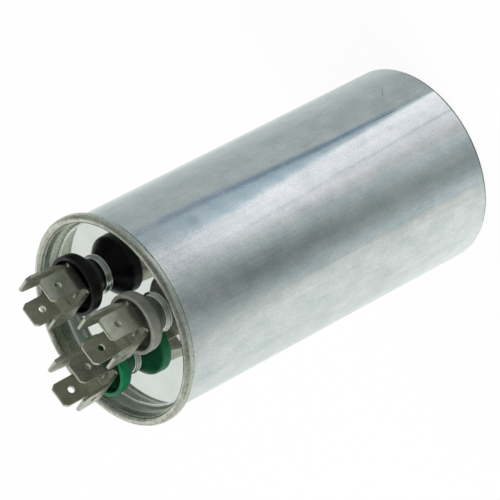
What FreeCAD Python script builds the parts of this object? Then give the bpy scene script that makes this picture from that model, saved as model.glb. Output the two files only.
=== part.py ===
import FreeCAD, Part
import math
import os

# Motor run capacitor: a drawn can that stands on its closed end, a lid seamed over the can's flange,
# and three terminals in the lid's recess. Lengths are in millimetres, +Z is the can's axis, and the
# origin is the centre of the closed end.

# Can
can_radius = 25.0
can_wall = 0.5
can_corner = 0.8
seam_top = 100.8

# Seam, where the lid's curl hooks over and under the can's flange
lid_sheet = 0.4
curl_radius = 1.05
curl_height = 2.6
curl_corner = 0.7
lid_clearance = 0.1
hook_gap = 0.05
neck_flare = 0.45
neck_length = 1.1
flange_rise = 0.2
flange_gap = 0.2
gasket_gap = 0.02
gasket_sheet = 0.2

# Lid panel and the raised collars
recess_depth = 5.3
recess_taper = 0.3
panel_corner = 0.8
collar_height = 1.1
collar_lip = 1.9
collar_top_corner = 0.5
collar_foot_corner = 0.3
spigot_clearance = 0.1

# Terminals: their places, the side that each lug points to, and the one that both sections share
pitch_radius = 11.7
terminal_angles = {"black": 0.0, "green": 120.0, "white": 240.0}
lug_sides = {"black": -1, "green": 1, "white": -1}
common_colour = "white"

# Tab stampings
tab_sheet = 0.8
tab_width = 6.3
tab_length = 7.9
tab_chamfer_width = 0.85
tab_chamfer_length = 1.1
tab_tip_bevel = 0.2
tab_hole_radius = 0.9
tab_hole_from_tip = 4.1
tab_lean = 3.0
tab_bend = 3.0
shoulder_height = 3.7
shoulder_spread = 1.3
shoulder_bend = 1.0
notch_width = 0.3
corner_width = 0.9
corner_root = 0.25

# Insulator cups
plate_clearance = 0.35
cup_height = 6.7
cup_wall = 1.0
cup_side = 2.8
cup_draft = 0.08
cup_flare = 3.3
cup_foot_height = 0.3
cup_foot_corner = 0.15
cup_waist_corner = 0.3
cup_side_corner = 1.3
cup_rim_corner = 0.25
foot_margin = 0.55
well_width = 0.4
post_drop = 0.7
spigot_length = 1.2

# Rivets and the stack that they clamp
rivet_radius = 1.5
rivet_clearance = 0.05
rivet_head_lip = 1.1
rivet_head_height = 1.0
rivet_head_corner = 0.7
rivet_foot_lip = 0.9
rivet_foot_height = 0.8
rivet_foot_corner = 0.5
bush_clearance = 0.1
bush_corner = 0.6
washer_margin = 0.9
washer_thickness = 1.2
lug_sheet = 0.6
lug_margin = 0.6
lug_tail_width = 3.0
lug_tail_reach = 1.6
lug_tail_end = 1.2
lead_radius = 0.5
lead_clearance = 0.05

# Film roll and its fittings
pad_thickness = 4.0
pad_rim_height = 4.0
pad_rim_wall = 1.0
pad_gap = 0.3
pad_corner_gap = 0.2
pocket_radius = 9.0
pocket_room = 0.4
wrap_gap = 0.2
wrap_sheet = 0.4
core_radius = 4.6
core_wall = 1.0
core_overhang = 0.8
spray_thickness = 0.6
spray_margin = 0.3
ring_reach = 1.8
ring_gap = 1.2
spacer_gap = 0.3
spacer_room = 2.3
spacer_thickness = 2.0
spacer_lift = 5.0
spacer_skirt = 1.8
spacer_hole_gap = 1.5
common_lead_bend = 1.5
common_lead_lift = 2.1
common_lead_margin = 1.0

# Radii worked out from the sizes above
can_bore = can_radius - can_wall
wall_inner = can_bore - lid_clearance - lid_sheet
curl_outer = wall_inner + neck_flare + 2.0 * curl_radius
flange_edge = curl_outer - lid_sheet - flange_gap
corner_start = tab_width / 2.0 + notch_width
plate_half = corner_start + corner_width
bend_start = corner_start + corner_root
cup_radius = plate_half * math.sqrt(2.0) + plate_clearance + cup_wall
cup_foot_radius = cup_radius - cup_flare
collar_radius = cup_foot_radius + foot_margin
foot_radius = collar_radius + 2.0 * collar_foot_corner
spigot_bore = collar_radius - collar_lip
spigot_radius = spigot_bore - spigot_clearance
rivet_bore = rivet_radius + rivet_clearance
rivet_head_radius = rivet_radius + rivet_head_lip
rivet_foot_radius = rivet_radius + rivet_foot_lip
washer_radius = foot_radius + washer_margin
lug_radius = rivet_foot_radius + lug_margin
lead_offset = lug_radius + lug_tail_reach
pad_radius = can_bore - pad_gap
pad_rim_inner = pad_radius - pad_rim_wall
wrap_radius = pad_rim_inner - wrap_gap
roll_radius = wrap_radius - wrap_sheet
spray_radius = roll_radius - spray_margin
inner_ring_radius = pitch_radius + ring_reach

# Heights worked out from the sizes above, from the seam down and from the closed end up
neck_start = seam_top - curl_height
neck_end = neck_start + neck_length
panel_top = seam_top - recess_depth
panel_under = panel_top - lid_sheet
collar_top = panel_top + collar_height
spigot_bottom = collar_top - spigot_length
cup_top = collar_top + cup_height
plate_under = cup_top - post_drop
plate_top = plate_under + tab_sheet
washer_under = panel_under - washer_thickness
lug_under = washer_under - lug_sheet
rivet_under = lug_under - rivet_foot_height
spacer_top = rivet_under - spacer_room
spacer_under = spacer_top - spacer_thickness
spray_top = spacer_under - spacer_lift
roll_top = spray_top - spray_thickness
core_top = roll_top + core_overhang
pad_top = can_wall + pad_thickness
roll_bottom = pad_top + spray_thickness


def vector(x, y, z):
    return FreeCAD.Vector(x, y, z)


def direction(start, end):
    """Unit vector in the section plane from one point to the next."""
    length = math.hypot(end[0] - start[0], end[1] - start[1])
    return ((end[0] - start[0]) / length, (end[1] - start[1]) / length)


def offset_points(points, distance):
    """Corners of a path moved to its left by a distance, in the section plane."""
    moved = []
    for index, point in enumerate(points):
        ahead = direction(points[max(index - 1, 0)], points[max(index, 1)])
        after = direction(points[min(index, len(points) - 2)], points[min(index + 1, len(points) - 1)])
        share = 1.0 + ahead[0] * after[0] + ahead[1] * after[1]
        side = (-(ahead[1] + after[1]) / share, (ahead[0] + after[0]) / share)
        moved.append((point[0] + distance * side[0], point[1] + distance * side[1]))
    return moved


def turn_side(points, index):
    """Positive where a path turns to its left at a corner."""
    ahead = direction(points[index - 1], points[index])
    after = direction(points[index], points[index + 1])
    return ahead[0] * after[1] - ahead[1] * after[0]


def path_edges(points, radii):
    """Lines and tangent arcs along a path in the section plane, with X as radius and Z as height."""
    edges = []
    start = vector(points[0][0], 0, points[0][1])
    for index in range(1, len(points) - 1):
        radius = radii.get(index, 0.0)
        corner = vector(points[index][0], 0, points[index][1])
        if radius <= 0.0:
            edges.append(Part.makeLine(start, corner))
            start = corner
            continue
        ahead = direction(points[index - 1], points[index])
        after = direction(points[index], points[index + 1])
        back = vector(-ahead[0], 0, -ahead[1])
        onward = vector(after[0], 0, after[1])
        half = back.getAngle(onward) / 2.0
        reach = radius / math.tan(half)
        arc_start = corner + back * reach
        arc_end = corner + onward * reach
        middle = (back + onward).normalize() * (radius / math.sin(half) - radius) + corner
        if start.distanceToPoint(arc_start) > 1e-6:
            edges.append(Part.makeLine(start, arc_start))
        edges.append(Part.Arc(arc_start, middle, arc_end).toShape())
        start = arc_end
    edges.append(Part.makeLine(start, vector(points[-1][0], 0, points[-1][1])))
    return edges


def sheet_section(points, radii, thickness, bevel=0.0):
    """Section of a bent sheet: a path, the same path moved to its left, and the two end faces."""
    far = offset_points(points, thickness)
    far_radii = {}
    for index, radius in radii.items():
        grow = -thickness if turn_side(points, index) > 0 else thickness
        far_radii[index] = max(radius + grow, 0.0)
    if bevel > 0.0:
        along = direction(points[-2], points[-1])
        across = direction(points[-1], far[-1])
        near_tip = (points[-1][0] + bevel * across[0], points[-1][1] + bevel * across[1])
        far_tip = (far[-1][0] - bevel * across[0], far[-1][1] - bevel * across[1])
        near_side = (points[-1][0] - bevel * along[0], points[-1][1] - bevel * along[1])
        far_side = (far[-1][0] - bevel * along[0], far[-1][1] - bevel * along[1])
        outline = points[:-1] + [near_side, near_tip, far_tip, far_side] + far[-2::-1]
        skipped = len(points) + 2
    else:
        outline = points + far[::-1]
        skipped = len(points)
    outline = outline + [points[0]]
    all_radii = dict(radii)
    for index, radius in far_radii.items():
        all_radii[skipped + len(points) - 1 - index] = radius
    return Part.Face(Part.Wire(path_edges(outline, all_radii)))


def turned(points, radii=None):
    """Solid of revolution about Z from the corners of a closed section."""
    closed = list(points) + [points[0]]
    face = Part.Face(Part.Wire(path_edges(closed, radii or {})))
    return revolved(face)


def revolved(face):
    return face.revolve(vector(0, 0, 0), vector(0, 0, 1), 360)


def ring(inner, outer, bottom, top):
    body = Part.makeCylinder(outer, top - bottom, vector(0, 0, bottom))
    if inner <= 0.0:
        return body
    return body.cut(Part.makeCylinder(inner, top - bottom, vector(0, 0, bottom)))


def at_terminal(shape, colour):
    """Copy of a shape modelled on the Z axis, moved to its terminal."""
    angle = math.radians(terminal_angles[colour])
    place = vector(pitch_radius * math.cos(angle), pitch_radius * math.sin(angle), 0)
    return shape.translated(place)


def turned_to_terminal(shape, colour):
    """Copy of a shape modelled on the +X side, turned about the can's axis to its terminal."""
    return shape.rotated(vector(0, 0, 0), vector(0, 0, 1), terminal_angles[colour])


def can_path():
    """Outer skin of the can, from the centre of its closed end to the edge of its flange."""
    return [
        (0, 0),
        (can_radius, 0),
        (can_radius, neck_start),
        (can_radius + neck_flare, neck_end),
        (flange_edge, neck_end + flange_rise),
    ]


def can():
    """Drawn can: flat closed end, rounded corner, straight wall, and a flange that flares out."""
    return revolved(sheet_section(can_path(), {1: can_corner, 3: can_wall}, can_wall))


def seam_gasket():
    """Sealing compound that lies on the flange, inside the curl."""
    flange_top = offset_points(can_path(), can_wall + gasket_gap)[-2:]
    return revolved(sheet_section(flange_top, {}, gasket_sheet))


def lid_shell():
    """Lid without its collars: the curl under and over the flange, the chuck wall, and the panel."""
    hook_edge = can_radius + neck_flare * lid_sheet / neck_length + hook_gap
    points = [
        (hook_edge, neck_start),
        (curl_outer, neck_start),
        (curl_outer, seam_top),
        (wall_inner + neck_flare, seam_top),
        (wall_inner + neck_flare, neck_end),
        (wall_inner, neck_start),
        (wall_inner - recess_taper, panel_top),
        (0, panel_top),
    ]
    radii = {1: curl_corner, 2: curl_radius, 3: curl_radius, 6: panel_corner}
    return revolved(sheet_section(points, radii, lid_sheet))


def collar():
    """Raised collar in the lid's panel, on the Z axis, from its foot to its hole."""
    points = [
        (foot_radius, panel_top),
        (collar_radius, panel_top),
        (collar_radius, collar_top),
        (spigot_bore, collar_top),
    ]
    radii = {1: collar_foot_corner, 2: collar_top_corner}
    return revolved(sheet_section(points, radii, lid_sheet))


def lid():
    """Lid drawn from one sheet, with a collar for each terminal."""
    shell = lid_shell()
    opening = Part.makeCylinder(foot_radius, lid_sheet, vector(0, 0, panel_under))
    for colour in terminal_angles:
        shell = shell.cut(at_terminal(opening, colour))
    for colour in terminal_angles:
        shell = shell.fuse(at_terminal(collar(), colour))
    return shell.removeSplitter()


def insulator_cup():
    """Moulded cup on the collar: a flared bowl, a post that carries the tabs, and a spigot."""
    outer = [
        (cup_foot_radius, collar_top + cup_foot_height),
        (cup_radius - cup_draft, cup_top - cup_side),
        (cup_radius, cup_top),
    ]
    inner = offset_points(outer, cup_wall)
    post_radius = inner[0][0] - well_width
    floor = inner[0][1]
    points = [
        (rivet_bore, spigot_bottom),
        (spigot_radius, spigot_bottom),
        (spigot_radius, collar_top),
        (cup_foot_radius, collar_top),
        outer[0],
        outer[1],
        outer[2],
        (inner[2][0], cup_top),
        inner[1],
        inner[0],
        (post_radius, floor),
        (post_radius, plate_under),
        (rivet_bore, plate_under),
    ]
    radii = {
        3: cup_foot_corner,
        4: cup_waist_corner,
        5: cup_side_corner,
        6: cup_rim_corner,
        7: cup_rim_corner,
        8: cup_side_corner - cup_wall,
    }
    return turned(points, radii)


def tab_arm():
    """Tab on the +X side: flat foot, leaning shoulder, and the blade with its chamfered tip."""
    lean = math.radians(tab_lean)
    bend_turn = math.atan2(shoulder_height, shoulder_spread)
    foot = bend_start + shoulder_bend * math.tan(bend_turn / 2.0)
    kink = (foot + shoulder_spread, plate_under + shoulder_height)
    tip = (kink[0] + tab_length * math.sin(lean), kink[1] + tab_length * math.cos(lean))
    points = [(0, plate_under), (foot, plate_under), kink, tip]
    section = sheet_section(points, {1: shoulder_bend, 2: tab_bend}, tab_sheet, tab_tip_bevel)
    strip = section.translated(vector(0, -tab_width / 2.0, 0)).extrude(vector(0, tab_width, 0))

    side = tab_width / 2.0
    tip_side = side - tab_chamfer_width
    chamfer_foot = tip[1] - tab_chamfer_length
    head_room = tip[1] + tab_sheet
    outline = [
        (-side, plate_under),
        (side, plate_under),
        (side, chamfer_foot),
        (tip_side, tip[1]),
        (tip_side, head_room),
        (-tip_side, head_room),
        (-tip_side, tip[1]),
        (-side, chamfer_foot),
        (-side, plate_under),
    ]
    trim = Part.Face(Part.makePolygon([vector(0, y, z) for y, z in outline]))
    arm = strip.common(trim.extrude(vector(tip[0] + tab_sheet, 0, 0)))

    hole_x = tip[0] - tab_hole_from_tip * math.sin(lean)
    hole_z = tip[1] - tab_hole_from_tip * math.cos(lean)
    inward = vector(-math.cos(lean), 0, math.sin(lean))
    start = vector(hole_x, 0, hole_z) - inward * tab_sheet
    return arm.cut(Part.makeCylinder(tab_hole_radius, 3.0 * tab_sheet, start, inward))


def tabs():
    """Stamping with four tabs bent up from a plate, whose corners stand out past a notch at each tab."""
    width = 2.0 * bend_start
    plate = Part.makeBox(width, width, tab_sheet, vector(-bend_start, -bend_start, plate_under))
    place = vector(corner_start, corner_start, plate_under)
    corner = Part.makeBox(corner_width, corner_width, tab_sheet, place)
    arm = tab_arm()
    added = []
    for quarter in range(4):
        for piece in (corner, arm):
            added.append(piece.rotated(vector(0, 0, 0), vector(0, 0, 1), 90.0 * quarter))
    body = plate.multiFuse(added).removeSplitter()
    return body.cut(Part.makeCylinder(rivet_bore, tab_sheet, vector(0, 0, plate_under)))


def rivet():
    """Rivet that clamps tabs, cup, lid, washer and lug together."""
    head_top = plate_top + rivet_head_height
    points = [
        (0, rivet_under),
        (rivet_foot_radius, rivet_under),
        (rivet_foot_radius, lug_under),
        (rivet_radius, lug_under),
        (rivet_radius, plate_top),
        (rivet_head_radius, plate_top),
        (rivet_head_radius, head_top),
        (0, head_top),
    ]
    return turned(points, {1: rivet_foot_corner, 6: rivet_head_corner})


def seal_bush():
    """Rubber bush that fills the collar from below, round the spigot and the rivet."""
    outer = collar_radius - lid_sheet - bush_clearance
    top = collar_top - lid_sheet
    points = [
        (rivet_bore, panel_under),
        (outer, panel_under),
        (outer, top),
        (spigot_bore, top),
        (spigot_bore, spigot_bottom),
        (rivet_bore, spigot_bottom),
    ]
    return turned(points, {2: bush_corner})


def inner_washer():
    return ring(rivet_bore, washer_radius, washer_under, panel_under)


def solder_lug(side):
    """Lug under the washer, with its tail towards the can's wall (side 1) or its axis (side -1)."""
    body = ring(0.0, lug_radius, lug_under, washer_under)
    tail_length = lead_offset + lug_tail_end
    place = vector(0, -lug_tail_width / 2.0, lug_under)
    tail = Part.makeBox(tail_length, lug_tail_width, lug_sheet, place)
    body = body.fuse(tail).removeSplitter()
    body = body.cut(Part.makeCylinder(rivet_bore, lug_sheet, vector(0, 0, lug_under)))
    hole = Part.makeCylinder(lead_radius + lead_clearance, lug_sheet, vector(lead_offset, 0, lug_under))
    body = body.cut(hole)
    if side < 0:
        body = body.rotated(vector(0, 0, 0), vector(0, 0, 1), 180.0)
    return body.translated(vector(pitch_radius, 0, 0))


def straight_lead(side):
    """Lead from a lug's tail straight down to the ring of spray below it."""
    place = vector(pitch_radius + side * lead_offset, 0, spray_top)
    return Part.makeCylinder(lead_radius, washer_under - spray_top, place)


def common_lead():
    """Lead from a lug's tail through the core tube to the spray at the roll's lower end."""
    start_x = pitch_radius - lead_offset
    bend_height = core_top + common_lead_lift
    foot_height = pad_top - lead_radius
    points = [
        (start_x, washer_under),
        (start_x, bend_height),
        (0, bend_height),
        (0, foot_height),
        (pocket_radius - common_lead_margin, foot_height),
    ]
    bend = common_lead_bend
    spine = Part.Wire(path_edges(points, {1: bend, 2: bend, 3: bend}))
    circle = Part.makeCircle(lead_radius, vector(start_x, 0, washer_under), vector(0, 0, -1))
    return spine.makePipeShell([Part.Wire(circle)], True, False)


def bottom_pad():
    """Plastic dish under the roll, with a pocket for the common lead's end."""
    rim_top = pad_top + pad_rim_height
    pocket_floor = pad_top - 2.0 * lead_radius - pocket_room
    points = [
        (0, can_wall),
        (pad_radius, can_wall),
        (pad_radius, rim_top),
        (pad_rim_inner, rim_top),
        (pad_rim_inner, pad_top),
        (pocket_radius, pad_top),
        (pocket_radius, pocket_floor),
        (0, pocket_floor),
    ]
    return turned(points, {1: can_corner - can_wall + pad_corner_gap})


def spacer_plate():
    """Plate above the roll on a skirt, with a hole for each lead."""
    disc = ring(0.0, can_bore - spacer_gap, spacer_under, spacer_top)
    skirt = ring(spray_radius - spacer_skirt, spray_radius, spray_top, spacer_under)
    plate = disc.fuse(skirt).removeSplitter()
    for colour, side in lug_sides.items():
        place = vector(pitch_radius + side * lead_offset, 0, spacer_under)
        hole = Part.makeCylinder(lead_radius + spacer_hole_gap, spacer_thickness, place)
        plate = plate.cut(turned_to_terminal(hole, colour))
    return plate


def build():
    """Every piece of the capacitor by its name."""
    pieces = {
        "can": can(),
        "lid": lid(),
        "seam_gasket": seam_gasket(),
        "bottom_pad": bottom_pad(),
        "winding_roll": ring(core_radius, roll_radius, roll_bottom, roll_top),
        "film_wrap": ring(roll_radius, wrap_radius, roll_bottom, roll_top),
        "core_tube": ring(core_radius - core_wall, core_radius, pad_top, core_top),
        "end_spray_bottom": ring(core_radius, spray_radius, pad_top, roll_bottom),
        "end_spray_inner": ring(core_radius, inner_ring_radius, roll_top, spray_top),
        "end_spray_outer": ring(inner_ring_radius + ring_gap, spray_radius, roll_top, spray_top),
        "spacer_plate": spacer_plate(),
    }
    for colour, side in lug_sides.items():
        pieces[f"insulator_cup_{colour}"] = at_terminal(insulator_cup(), colour)
        pieces[f"tabs_{colour}"] = at_terminal(tabs(), colour)
        pieces[f"rivet_{colour}"] = at_terminal(rivet(), colour)
        pieces[f"seal_bush_{colour}"] = at_terminal(seal_bush(), colour)
        pieces[f"inner_washer_{colour}"] = at_terminal(inner_washer(), colour)
        pieces[f"solder_lug_{colour}"] = turned_to_terminal(solder_lug(side), colour)
        lead = common_lead() if colour == common_colour else straight_lead(side)
        pieces[f"lead_{colour}"] = turned_to_terminal(lead, colour)
    return pieces


def main():
    os.makedirs("parts", exist_ok=True)
    for name, shape in build().items():
        shape.exportStep(f"parts/{name}.step")
        print(name, round(shape.Volume, 2), len(shape.Solids), shape.isValid())


main()
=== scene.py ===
import math

import bpy
from mathutils import Matrix, Vector


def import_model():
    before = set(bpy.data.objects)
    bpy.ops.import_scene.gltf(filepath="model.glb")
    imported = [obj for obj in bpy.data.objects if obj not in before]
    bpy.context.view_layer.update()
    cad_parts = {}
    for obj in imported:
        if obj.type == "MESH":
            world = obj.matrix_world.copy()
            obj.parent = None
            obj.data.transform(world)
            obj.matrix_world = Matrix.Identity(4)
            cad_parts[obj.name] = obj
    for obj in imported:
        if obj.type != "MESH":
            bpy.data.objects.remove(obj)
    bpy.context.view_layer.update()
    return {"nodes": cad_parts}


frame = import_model()
nodes = frame["nodes"]

# Lengths are in metres, with +Z up the can's axis and +X towards the black terminal.
# The camera stands above the terminal end, turned by TURN round the axis from the -Y side. It is rolled so
# that the can lies across the picture, and it looks at the point on the axis that is AIM_HEIGHT up.
TURN = math.radians(15.8)
ELEVATION = math.radians(35.835)
ROLL = math.radians(-117.571)
DISTANCE = 1.002593
AIM_HEIGHT = 0.050403
LENS = 302.66
SENSOR_WIDTH = 36.0
SHIFT = (-0.03119, -0.01887)
CLIP = (0.05, 20.0)

# Radius of the can's straight wall, and height of the lid's panel
WALL_RADIUS = 0.025
PANEL_TOP = 0.0955

FLOOR_HALF = 4.0
FLOOR_HEIGHT = -0.0002
WHITE = (1.0, 1.0, 1.0, 1.0)


def srgb(r, g, b):
    """Linear colour of a colour given as it shows on a screen, 0 to 255."""
    linear = []
    for part in (r / 255.0, g / 255.0, b / 255.0):
        linear.append(part / 12.92 if part <= 0.04045 else ((part + 0.055) / 1.055) ** 2.4)
    return (*linear, 1.0)


def wall_angle(azimuth):
    """Angle round the axis from +X, for a place so many degrees to the right of the camera's side."""
    return math.radians(azimuth - 90.0) - TURN


class Nodes:
    """Builds the node tree of one material or world. Noise scales are in cells per metre."""

    def __init__(self, owner):
        owner.use_nodes = True
        self.owner = owner
        self.tree = owner.node_tree

    def add(self, kind, **values):
        node = self.tree.nodes.new(kind)
        for key, value in values.items():
            setattr(node, key, value)
        return node

    def link(self, start, end):
        self.tree.links.new(start, end)

    def feed(self, socket, value):
        """Gives a socket a constant, or another node's output."""
        if isinstance(value, (int, float, tuple)):
            socket.default_value = value
        else:
            self.link(value, socket)

    def calculate(self, operation, *values):
        node = self.add("ShaderNodeMath", operation=operation)
        for socket, value in zip(node.inputs, values):
            self.feed(socket, value)
        return node.outputs[0]

    def times(self, a, b):
        return self.calculate("MULTIPLY", a, b)

    def blend(self, a, b, share):
        """A share of one value, and the rest of another."""
        return self.calculate("ADD", self.times(a, share), self.times(b, 1.0 - share))

    def mix(self, factor, a, b, how="MIX"):
        node = self.add("ShaderNodeMix", data_type="RGBA", blend_type=how)
        for socket, value in zip((node.inputs[0], node.inputs[6], node.inputs[7]), (factor, a, b)):
            self.feed(socket, value)
        return node.outputs[2]

    def shade(self, colour, strength, other):
        """A colour, multiplied by another one with a strength."""
        return self.mix(strength, colour, other, "MULTIPLY")

    def stain(self, colour, mask, strength, other):
        """A colour, with another one laid over it where the mask is 1."""
        return self.mix(self.times(mask, strength), colour, other)

    def mix_shaders(self, factor, first, second):
        node = self.add("ShaderNodeMixShader")
        self.feed(node.inputs[0], factor)
        self.link(first.outputs[0], node.inputs[1])
        self.link(second.outputs[0], node.inputs[2])
        return node

    def ramp(self, value, stops, unit=1.0):
        """Colour or grey level along a value: stops are (place, colour), with places counted in units."""
        node = self.add("ShaderNodeValToRGB")
        band = node.color_ramp
        while len(band.elements) < len(stops):
            band.elements.new(0.5)
        for element, (at, colour) in zip(band.elements, stops):
            element.position = at
            element.color = colour if isinstance(colour, tuple) else (colour, colour, colour, 1.0)
        if unit != 1.0:
            value = self.times(value, 1.0 / unit)
        self.link(value, node.inputs["Fac"])
        return node.outputs["Color"]

    def surface(self):
        """The surface's own coordinates, in metres."""
        return self.add("ShaderNodeTexCoord").outputs["Object"]

    def split(self):
        """The surface's own coordinates as X, Y and Z."""
        node = self.add("ShaderNodeSeparateXYZ")
        self.link(self.surface(), node.inputs[0])
        return node.outputs

    def height(self):
        return self.split()["Z"]

    def radius(self):
        """Distance from the can's axis."""
        flat = self.add("ShaderNodeVectorMath", operation="MULTIPLY")
        flat.inputs[1].default_value = (1.0, 1.0, 0.0)
        self.link(self.surface(), flat.inputs[0])
        length = self.add("ShaderNodeVectorMath", operation="LENGTH")
        self.link(flat.outputs["Vector"], length.inputs[0])
        return length.outputs["Value"]

    def noise_at(self, place, scale, detail, rough):
        node = self.add("ShaderNodeTexNoise")
        node.inputs["Scale"].default_value = scale
        node.inputs["Detail"].default_value = detail
        node.inputs["Roughness"].default_value = rough
        self.link(place, node.inputs["Vector"])
        return node.outputs["Fac"]

    def noise(self, scale, stretch=(1.0, 1.0, 1.0), detail=3.0, rough=0.55):
        """Noise whose cells are longer along an axis with a smaller stretch."""
        mapping = self.add("ShaderNodeMapping")
        mapping.inputs["Scale"].default_value = stretch
        self.link(self.surface(), mapping.inputs["Vector"])
        return self.noise_at(mapping.outputs["Vector"], scale, detail, rough)

    def grooves(self, scale, stretch=0.02):
        """Noise drawn out round the can's axis, like the marks of a seaming roller."""
        split = self.split()
        turn = self.calculate("ARCTAN2", split["Y"], split["X"])
        place = self.add("ShaderNodeCombineXYZ")
        self.link(self.radius(), place.inputs[0])
        self.link(split["Z"], place.inputs[1])
        self.link(self.times(turn, WALL_RADIUS * stretch), place.inputs[2])
        return self.noise_at(place.outputs[0], scale, detail=3.0, rough=0.5)

    def scratch(self, angle, half_width, wander):
        """1 on a fine line along the can at an angle round its axis, and 0 elsewhere."""
        surface = self.surface()
        sides = []
        for turn in (0.0, math.pi / 2.0):
            side = self.add("ShaderNodeVectorMath", operation="DOT_PRODUCT")
            side.inputs[1].default_value = (math.cos(angle + turn), math.sin(angle + turn), 0.0)
            self.link(surface, side.inputs[0])
            sides.append(side.outputs["Value"])
        outward, across = sides
        drift = self.times(self.noise(30.0, (0.0, 0.0, 1.0)), wander)
        off = self.calculate("ABSOLUTE", self.calculate("ADD", across, drift))
        near = self.calculate("LESS_THAN", off, half_width)
        return self.times(near, self.calculate("GREATER_THAN", outward, 0.0))

    def spot(self, angle, height, radius):
        """1 in a soft round spot on the can's wall, at an angle and a height, and 0 outside."""
        gap = self.add("ShaderNodeVectorMath", operation="DISTANCE")
        gap.inputs[1].default_value = (WALL_RADIUS * math.cos(angle), WALL_RADIUS * math.sin(angle), height)
        self.link(self.surface(), gap.inputs[0])
        return self.ramp(gap.outputs["Value"], [(0.35, 1.0), (1.0, 0.0)], unit=radius)

    def bump(self, value, depth, strength, under=None):
        """Relief of a depth in metres, on top of the relief under it."""
        node = self.add("ShaderNodeBump")
        node.inputs["Distance"].default_value = depth
        node.inputs["Strength"].default_value = strength
        self.link(value, node.inputs["Height"])
        if under is not None:
            self.link(under, node.inputs["Normal"])
        return node.outputs["Normal"]

    def show(self, shader):
        """Puts another shader in the main one's place and returns the material."""
        self.link(shader.outputs[0], self.tree.nodes["Material Output"].inputs["Surface"])
        return self.owner

    def paint(self, **values):
        """Sets the main shader's inputs and returns the material."""
        shader = self.tree.nodes["Principled BSDF"]
        names = {"colour": "Base Color", "metal": "Metallic", "rough": "Roughness", "normal": "Normal",
                 "specular": "Specular IOR Level"}
        for key, value in values.items():
            self.feed(shader.inputs[names[key]], value)
        return self.owner


def material(name):
    return Nodes(bpy.data.materials.new(name))


def wall_marks(look, colour, height):
    """Marks on the can's wall: a long fine scratch, a short dark bluish line near the foot that is a painted
    reflection, a faint grey round spot and a nick.
    """
    fading = look.ramp(height, [(0.3, 0.5), (0.8, 0.12)], unit=0.1)
    scratch = look.scratch(wall_angle(-27.0), half_width=0.00005, wander=0.0012)
    colour = look.mix(look.times(scratch, fading), colour, srgb(84, 92, 92))
    # Painted reflection: the dark bluish gap line that the reflectors show along the can, carried on down
    # near the foot as a short dark dash.
    stretch = look.ramp(height, [(0.13, 0.0), (0.15, 0.8), (0.20, 0.6), (0.26, 0.0)], unit=0.1)
    painted_gap_reflection = look.scratch(wall_angle(32.1), half_width=0.00009, wander=0.0)
    colour = look.mix(look.times(painted_gap_reflection, stretch), colour, srgb(56, 70, 100))
    spot = look.spot(wall_angle(28.0), height=0.082, radius=0.0023)
    colour = look.stain(colour, spot, 0.8, srgb(200, 203, 202))
    nick_dots = 6
    for dot in range(nick_dots):
        share = dot / (nick_dots - 1)
        nick = look.spot(wall_angle(51.2 - 5.2 * share), height=0.0102 + 0.002 * share, radius=0.00032)
        colour = look.stain(colour, nick, 0.55, srgb(96, 106, 116))
    return colour


def drawn_aluminium():
    """A bright drawn can: clear towards the closed end, cloudier and scuffed towards the terminals."""
    look = material("drawn_aluminium")
    height = look.height()
    cloud = look.noise(75.0, (1.0, 1.0, 0.5), detail=5.0, rough=0.6)
    patches = look.noise(210.0, (1.0, 1.0, 0.75), detail=6.0, rough=0.65)
    lines = look.noise(1500.0, (1.0, 1.0, 0.012))
    grain = look.noise(3400.0, (1.0, 1.0, 0.6), rough=0.75)
    specks = look.ramp(look.noise(1150.0, (1.0, 1.0, 0.55), detail=2.0), [(0.72, 0.0), (0.78, 1.0)])
    hairlines = look.ramp(look.noise(1300.0, (1.0, 1.0, 0.05), detail=1.0), [(0.72, 0.0), (0.77, 1.0)])
    smudges = look.ramp(look.noise(95.0, (1.0, 1.0, 0.8), detail=4.0), [(0.66, 0.0), (0.76, 1.0)])
    # The clouds are stronger towards the terminals, where the can was handled
    handled = look.ramp(height, [(0.1, 0.25), (0.55, 0.55), (0.9, 1.0)], unit=0.1)
    drawn = look.ramp(lines, [(0.38, srgb(214, 218, 220)), (0.62, srgb(248, 249, 249))])
    fine = look.ramp(grain, [(0.27, srgb(196, 198, 199)), (0.63, srgb(255, 255, 255))])
    colour = look.ramp(patches, [(0.32, srgb(225, 229, 230)), (0.66, srgb(251, 249, 249))])
    colour = look.shade(colour, 0.2, drawn)
    colour = look.shade(colour, 0.5, fine)
    colour = look.stain(colour, specks, 0.35, srgb(120, 122, 124))
    colour = look.stain(colour, hairlines, 0.14, srgb(120, 126, 132))
    colour = look.stain(colour, smudges, 0.16, srgb(140, 144, 150))
    colour = wall_marks(look, colour, height)
    worn = look.times(look.blend(cloud, patches, 0.6), handled)
    rough = look.ramp(worn, [(0.08, 0.05), (0.28, 0.10), (0.60, 0.21)])
    normal = look.bump(lines, 0.00003, 0.015)
    normal = look.bump(look.times(cloud, handled), 0.0012, 0.07, normal)
    normal = look.bump(look.times(patches, handled), 0.0003, 0.08, normal)
    normal = look.bump(grain, 0.00002, 0.12, normal)
    return look.paint(colour=colour, metal=1.0, rough=rough, normal=normal)


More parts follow.
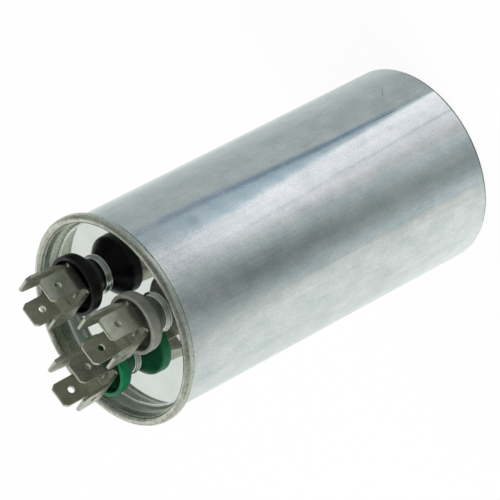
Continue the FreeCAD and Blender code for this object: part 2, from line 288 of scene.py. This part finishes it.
def tinplate():
    """One sheet: a bright panel with brighter collars, a streaked recess wall and a dull rolled seam."""
    look = material("tinplate")
    above = look.calculate("SUBTRACT", look.height(), PANEL_TOP)
    panel = look.ramp(look.radius(), [(0.925, 1.0), (0.94, 0.0)], unit=WALL_RADIUS)
    collar = look.ramp(above, [(0.08, 0.0), (0.25, 1.0)], unit=0.001)
    seam = look.ramp(above, [(0.34, 0.0), (0.46, 1.0)], unit=0.01)
    cloud = look.noise(150.0, detail=5.0)
    grain = look.noise(1700.0, detail=4.0, rough=0.75)
    streaks = look.noise(900.0, (0.12, 0.12, 1.0), detail=4.0, rough=0.7)
    rolled = look.grooves(5200.0)
    mottle = look.noise(800.0, detail=5.0, rough=0.7)

    plain = look.ramp(cloud, [(0.3, srgb(219, 218, 215)), (0.7, srgb(229, 227, 225))])
    plain = look.mix(collar, plain, srgb(250, 250, 247))
    plain_rough = look.mix(collar, look.ramp(cloud, [(0.4, 0.03), (0.8, 0.06)]), (0.08, 0.08, 0.08, 1.0))

    streaked = look.blend(grain, streaks, 0.5)
    wall = look.ramp(streaked, [(0.38, srgb(164, 172, 154)), (0.60, srgb(236, 241, 228))])
    wall_rough = look.ramp(streaked, [(0.3, 0.16), (0.7, 0.34)])

    marks = look.blend(rolled, mottle, 0.55)
    worn = look.ramp(marks, [(0.38, srgb(158, 152, 140)), (0.62, srgb(238, 234, 221))])
    worn_rough = look.ramp(marks, [(0.3, 0.19), (0.7, 0.29)])

    colour = look.mix(seam, look.mix(panel, wall, plain), worn)
    rough = look.mix(seam, look.mix(panel, wall_rough, plain_rough), worn_rough)
    recess_wall = look.calculate("SUBTRACT", 1.0, look.calculate("MAXIMUM", panel, seam))
    normal = look.bump(cloud, 0.0002, 0.04)
    normal = look.bump(look.times(streaked, recess_wall), 0.00006, 0.35, normal)
    normal = look.bump(look.times(rolled, seam), 0.00008, 0.45, normal)
    return look.paint(colour=colour, metal=1.0, rough=rough, normal=normal)


def tinned(name, dark, light, smooth=0.28):
    """Dull tinned sheet or wire with softened edges."""
    look = material(name)
    grain = look.noise(2600.0, detail=4.0, rough=0.75)
    mottle = look.blend(look.noise(420.0, detail=5.0, rough=0.6), grain, 0.5)
    bevel = look.add("ShaderNodeBevel", samples=4)
    bevel.inputs["Radius"].default_value = 0.00016
    colour = look.ramp(mottle, [(0.35, dark), (0.65, light)])
    rough = look.ramp(grain, [(0.3, smooth), (0.7, 0.5)])
    normal = look.bump(grain, 0.00004, 0.25, bevel.outputs["Normal"])
    return look.paint(colour=colour, metal=0.94, rough=rough, normal=normal)


def moulded(name, dark, light, rough, specular=0.5):
    """Moulded plastic or rubber with a fine grain."""
    look = material(name)
    grain = look.noise(5000.0, detail=2.0)
    colour = look.ramp(look.noise(500.0, detail=4.0), [(0.3, dark), (0.7, light)])
    grained = look.ramp(grain, [(0.3, rough - 0.06), (0.7, rough + 0.1)])
    normal = look.bump(grain, 0.00003, 0.2)
    return look.paint(colour=colour, rough=grained, normal=normal, specular=specular)


def clouded(name, dark, light, rough, metal=0.0, scale=600.0, stretch=(1.0, 1.0, 1.0)):
    """A hidden piece's finish: two shades in clouds, with a little relief."""
    look = material(name)
    cloud = look.noise(scale, stretch, detail=4.0)
    colour = look.ramp(cloud, [(0.3, dark), (0.7, light)])
    normal = look.bump(cloud, 0.00005, 0.2)
    return look.paint(colour=colour, metal=metal, rough=rough, normal=normal)


def dress(name, skin):
    """Gives a CAD piece one material all over."""
    mesh = nodes[name].data
    mesh.materials.clear()
    mesh.materials.append(skin)
    for face in mesh.polygons:
        face.material_index = 0


def dress_terminals(rubber):
    tabs = tinned("tinned_tabs", srgb(172, 169, 153), srgb(224, 222, 207), smooth=0.25)
    rivets = tinned("tinned_rivets", srgb(170, 166, 152), srgb(205, 202, 189))
    lugs = tinned("tinned_lugs", srgb(170, 160, 120), srgb(205, 196, 158))
    wire = tinned("wire", srgb(190, 150, 110), srgb(214, 180, 140))
    board = clouded("pressed_board", srgb(120, 88, 54), srgb(156, 120, 80), rough=0.8)
    cups = {
        "black": moulded("cup_black", srgb(12, 12, 14), srgb(20, 20, 22), rough=0.3, specular=0.35),
        "green": moulded("cup_green", srgb(12, 90, 56), srgb(22, 116, 75), rough=0.34, specular=0.3),
        "white": moulded("cup_white", srgb(119, 121, 111), srgb(138, 140, 129), rough=0.42, specular=0.4),
    }
    for colour, cup in cups.items():
        dress(f"insulator_cup_{colour}", cup)
        dress(f"tabs_{colour}", tabs)
        dress(f"rivet_{colour}", rivets)
        dress(f"seal_bush_{colour}", rubber)
        dress(f"inner_washer_{colour}", board)
        dress(f"solder_lug_{colour}", lugs)
        dress(f"lead_{colour}", wire)


def dress_roll():
    sprayed = clouded("sprayed_zinc", srgb(120, 122, 124), srgb(170, 172, 174), rough=0.7, metal=0.6,
                      scale=2500.0)
    for name in ("end_spray_bottom", "end_spray_inner", "end_spray_outer"):
        dress(name, sprayed)
    film = clouded("wound_film", srgb(150, 154, 158), srgb(196, 200, 204), rough=0.35, metal=0.5,
                   scale=900.0, stretch=(1.0, 1.0, 0.02))
    dress("winding_roll", film)
    dress("film_wrap", clouded("wrap_film", srgb(196, 186, 150), srgb(222, 214, 184), rough=0.3))
    polymer = moulded("moulded_polymer", srgb(206, 206, 198), srgb(226, 226, 220), rough=0.45)
    for name in ("bottom_pad", "core_tube", "spacer_plate"):
        dress(name, polymer)


def turned_by(point):
    """A point given with the camera on the -Y side, in the part's own frame."""
    return Matrix.Rotation(-TURN, 3, "Z") @ Vector(point)


def camera():
    back = turned_by((0.0, -math.cos(ELEVATION), math.sin(ELEVATION)))
    right = turned_by((1.0, 0.0, 0.0))
    up = back.cross(right)
    across = math.cos(ROLL) * right + math.sin(ROLL) * up
    along = -math.sin(ROLL) * right + math.cos(ROLL) * up
    data = bpy.data.cameras.new("camera")
    data.lens = LENS
    data.sensor_width = SENSOR_WIDTH
    data.shift_x, data.shift_y = SHIFT
    data.clip_start, data.clip_end = CLIP
    rig = bpy.data.objects.new("camera", data)
    spot = Vector((0.0, 0.0, AIM_HEIGHT)) + back * DISTANCE
    turn = Matrix((across, along, back)).transposed()
    rig.matrix_world = Matrix.Translation(spot) @ turn.to_4x4()
    bpy.context.scene.collection.objects.link(rig)
    bpy.context.scene.camera = rig


def softbox(name, spot, size, power):
    """A square soft lamp that points at the can's top and doesn't show in reflections."""
    data = bpy.data.lights.new(name, "AREA")
    data.shape = "RECTANGLE"
    data.size, data.size_y = size, size
    data.energy = power
    lamp = bpy.data.objects.new(name, data)
    spot, aim = turned_by(spot), Vector((0.0, 0.0, 0.1))
    lamp.location = spot
    lamp.rotation_mode = "QUATERNION"
    lamp.rotation_quaternion = (aim - spot).to_track_quat("-Z", "Y")
    bpy.context.scene.collection.objects.link(lamp)
    lamp.visible_glossy = False
    lamp.visible_camera = False


def world():
    """White behind everything, also in reflections, and soft light on the rest."""
    sky = Nodes(bpy.data.worlds.new("studio"))
    bpy.context.scene.world = sky.owner
    sky.tree.nodes.clear()
    path = sky.add("ShaderNodeLightPath").outputs
    reflected = sky.calculate("MAXIMUM", path["Is Glossy Ray"], path["Is Transmission Ray"])
    seen = sky.calculate("MAXIMUM", path["Is Camera Ray"], reflected)
    backdrop = sky.add("ShaderNodeBackground")
    backdrop.inputs["Color"].default_value = WHITE
    soft = sky.add("ShaderNodeBackground")
    soft.inputs["Color"].default_value = (0.96, 0.98, 1.0, 1.0)
    soft.inputs["Strength"].default_value = 0.55
    end = sky.add("ShaderNodeOutputWorld")
    sky.link(sky.mix_shaders(seen, soft, backdrop).outputs[0], end.inputs["Surface"])


def floor():
    """Pale paper: nearly white to the camera, with the object's shadow, and clear to what reflects it."""
    mesh = bpy.data.meshes.new("floor")
    sides = ((-1, -1), (1, -1), (1, 1), (-1, 1))
    corners = [(x * FLOOR_HALF, y * FLOOR_HALF, FLOOR_HEIGHT) for x, y in sides]
    mesh.from_pydata(corners, [], [(0, 1, 2, 3)])
    thing = bpy.data.objects.new("floor", mesh)
    bpy.context.scene.collection.objects.link(thing)
    look = material("floor")
    path = look.add("ShaderNodeLightPath").outputs
    matt = look.add("ShaderNodeBsdfDiffuse")
    matt.inputs["Color"].default_value = (0.9, 0.9, 0.9, 1.0)
    bright = look.mix_shaders(0.94, matt, look.add("ShaderNodeEmission"))
    seen = look.mix_shaders(path["Is Camera Ray"], matt, bright)
    through = look.mix_shaders(path["Is Glossy Ray"], seen, look.add("ShaderNodeBsdfTransparent"))
    mesh.materials.append(look.show(through))


# Tints of what surrounds the can, each as a share of its level
TABLE = (0.93, 1.0, 0.96)
SHADE = (0.86, 1.0, 1.01)
LAMP = (0.965, 1.0, 1.035)
EDGE = (0.80, 1.0, 1.11)
GAP = (0.70, 0.97, 1.28)
ROOM = (0.885, 1.0, 1.01)

# Reflectors round the can, seen only in its shine. Each row gives an azimuth and a level where the can's top
# end shows them, then the same for its middle and for its foot, then the tint, and the tint at the foot.
# Azimuths are in degrees to the right of the camera's side, round the upright can.
PANELS = [
    (-180, 0.87, -180, 0.85, -180, 0.84, TABLE, TABLE),
    (-150, 0.86, -150, 0.86, -150, 0.94, TABLE, TABLE),
    (-120, 0.88, -120, 0.82, -120, 0.94, TABLE, TABLE),
    (-84, 0.90, -84, 0.82, -84, 0.88, TABLE, TABLE),
    (-72, 0.85, -72, 0.78, -72, 0.81, TABLE, TABLE),
    (-60, 0.64, -60, 0.71, -60, 0.76, TABLE, TABLE),
    (-55, 0.57, -55, 0.68, -55, 0.73, TABLE, TABLE),
    (-54, 0.38, -54, 0.45, -54, 0.50, SHADE, SHADE),
    (-53, 0.50, -53, 0.63, -53, 0.67, SHADE, SHADE),
    (-48, 0.40, -48, 0.56, -48, 0.60, SHADE, SHADE),
    (-36, 0.22, -36, 0.38, -36, 0.42, SHADE, SHADE),
    (-24, 0.13, -24, 0.31, -24, 0.34, SHADE, SHADE),
    (-12, 0.22, -12, 0.38, -12, 0.41, SHADE, SHADE),
    (0, 0.44, 0, 0.53, 0, 0.58, SHADE, SHADE),
    (12, 0.74, 12, 0.60, 12, 0.58, LAMP, LAMP),
    (15, 0.84, 20.5, 0.77, 24, 0.80, LAMP, LAMP),
    (16, 0.96, 26.5, 0.83, 32.5, 0.86, LAMP, LAMP),
    (17, 0.60, 28, 0.55, 34, 0.58, EDGE, EDGE),
    (18, 1.08, 29.5, 0.86, 35.5, 0.88, LAMP, LAMP),
    (34, 1.06, 46.5, 0.92, 54, 1.00, LAMP, LAMP),
    (37, 1.05, 54.5, 0.98, 62, 1.12, LAMP, LAMP),
    (40, 0.70, 56.5, 0.60, 64.5, 0.60, EDGE, EDGE),
    (70, 0.57, 61.5, 0.46, 65.2, 0.50, EDGE, ROOM),
    (74, 0.30, 62.5, 0.26, 65.5, 0.46, GAP, ROOM),
    (78, 0.30, 66.5, 0.26, 66.0, 0.46, GAP, ROOM),
    (80, 0.54, 68.5, 0.48, 69, 0.46, ROOM, ROOM),
    (84, 0.54, 84, 0.48, 84, 0.44, ROOM, ROOM),
    (108, 0.50, 108, 0.49, 108, 0.48, ROOM, ROOM),
    (122, 0.54, 122, 0.56, 122, 0.56, ROOM, ROOM),
    (134, 0.58, 134, 0.61, 134, 0.62, ROOM, ROOM),
    (146, 0.64, 146, 0.65, 146, 0.66, TABLE, TABLE),
    (158, 0.80, 158, 0.80, 158, 0.65, TABLE, TABLE),
    (180, 0.87, 180, 0.85, 180, 0.84, TABLE, TABLE),
]
# Reflectors above them: azimuth, then the levels at the elevations of DOME_ROWS, in degrees
DOME = [
    (-180, 0.90, 0.96, 0.60),
    (-150, 0.82, 0.80, 0.50),
    (-112, 0.74, 0.62, 0.38),
    (-60, 0.44, 0.30, 0.30),
    (-20, 0.38, 0.16, 0.26),
    (20, 0.36, 0.14, 0.26),
    (60, 0.36, 0.20, 0.28),
    (105, 0.44, 0.24, 0.34),
    (128, 0.54, 0.30, 0.42),
    (148, 0.80, 0.62, 0.50),
    (160, 0.86, 0.92, 0.56),
    (180, 0.90, 0.96, 0.60),
]
DOME_ROWS = (0.0, 40.0, 65.0)
ZENITH_LEVEL = 0.36
# Radius of the reflectors, the heights that the can's top, middle and foot show and three more below them,
# and the radius of the lowest row, which nearly closes under the can
TENT_RADIUS = 0.6
TENT_ROWS = (-0.297, -0.406, -0.464, -0.53, -0.66, -1.4)
TENT_END_RADIUS = 0.01
# Under the can it is dark, which draws the line round the closed end
UNDER_LEVELS = (0.35, 0.25)


def between(start, end, share):
    """A row part of the way from one row of numbers to the next; tints mix too."""
    out = []
    for a, b in zip(start, end):
        out.append(between(a, b, share) if isinstance(a, tuple) else a + (b - a) * share)
    return tuple(out)


def steps_between(rows, widest=6.0):
    """The rows with more put in between, evenly, so that no step in azimuth is wide."""
    out = []
    for start, end in zip(rows, rows[1:]):
        count = max(1, int(abs(end[0] - start[0]) // widest))
        out += [between(start, end, k / count) for k in range(count)]
    out.append(rows[-1])
    return out


def paper(name, columns):
    """A lit paper surface seen only in reflections: columns of (azimuth, height, radius, level, tint)."""
    points, shades, faces = [], [], []
    for column in columns:
        for azimuth, height, radius, level, tint in column:
            angle = math.radians(azimuth)
            points.append((radius * math.sin(angle), -radius * math.cos(angle), height))
            shades.append((*(level * part for part in tint), 1.0))
    span = len(columns[0])
    for column in range(len(columns) - 1):
        for row in range(span - 1):
            first = column * span + row
            faces.append((first, first + 1, first + 1 + span, first + span))
    mesh = bpy.data.meshes.new(name)
    mesh.from_pydata(points, [], faces)
    layer = mesh.color_attributes.new("shade", "FLOAT_COLOR", "POINT")
    for item, shade in zip(layer.data, shades):
        item.color = shade
    thing = bpy.data.objects.new(name, mesh)
    thing.rotation_euler = (0.0, 0.0, -TURN)
    bpy.context.scene.collection.objects.link(thing)
    look = material(name)
    glow = look.add("ShaderNodeEmission")
    look.link(look.add("ShaderNodeVertexColor", layer_name="shade").outputs["Color"], glow.inputs["Color"])
    mesh.materials.append(look.show(glow))
    thing.visible_camera = False
    thing.visible_diffuse = False
    thing.visible_shadow = False
    thing.visible_transmission = False
    thing.visible_volume_scatter = False


def tent():
    """Paper reflectors of different greys round the can, with a dome over them."""
    lower = []
    for top, top_level, middle, middle_level, foot, foot_level, tint, foot_tint in steps_between(PANELS):
        levels = [top_level, middle_level, foot_level, foot_level]
        levels += [foot_level * part for part in UNDER_LEVELS]
        azimuths = [top, middle] + [foot] * 4
        radii = [TENT_RADIUS] * 5 + [TENT_END_RADIUS]
        tints = [tint, tint] + [foot_tint] * 4
        lower.append(list(zip(azimuths, TENT_ROWS, radii, levels, tints)))
    paper("tent", lower)
    upper = []
    for azimuth, *row_levels in steps_between(DOME):
        tint = between(SHADE, TABLE, min(row_levels[0], 1.0))
        column = [(azimuth, TENT_ROWS[0], TENT_RADIUS, row_levels[0], tint)]
        for elevation, level in zip(DOME_ROWS, row_levels):
            angle = math.radians(elevation)
            height, radius = TENT_RADIUS * math.sin(angle), TENT_RADIUS * math.cos(angle)
            column.append((azimuth, height, radius, level, tint))
        column.append((azimuth, TENT_RADIUS, 0.0, ZENITH_LEVEL, SHADE))
        upper.append(column)
    paper("dome", upper)


rubber = moulded("rubber", srgb(30, 30, 30), srgb(46, 46, 46), rough=0.6)
dress("can", drawn_aluminium())
dress("lid", tinplate())
dress("seam_gasket", rubber)
dress_terminals(rubber)
dress_roll()

camera()
world()
floor()
tent()
softbox("key", (-0.9, -0.15, 0.65), size=0.7, power=10.0)
softbox("fill", (0.7, 0.1, 0.7), size=0.6, power=2.0)

scene = bpy.context.scene
scene.view_settings.view_transform = "Standard"
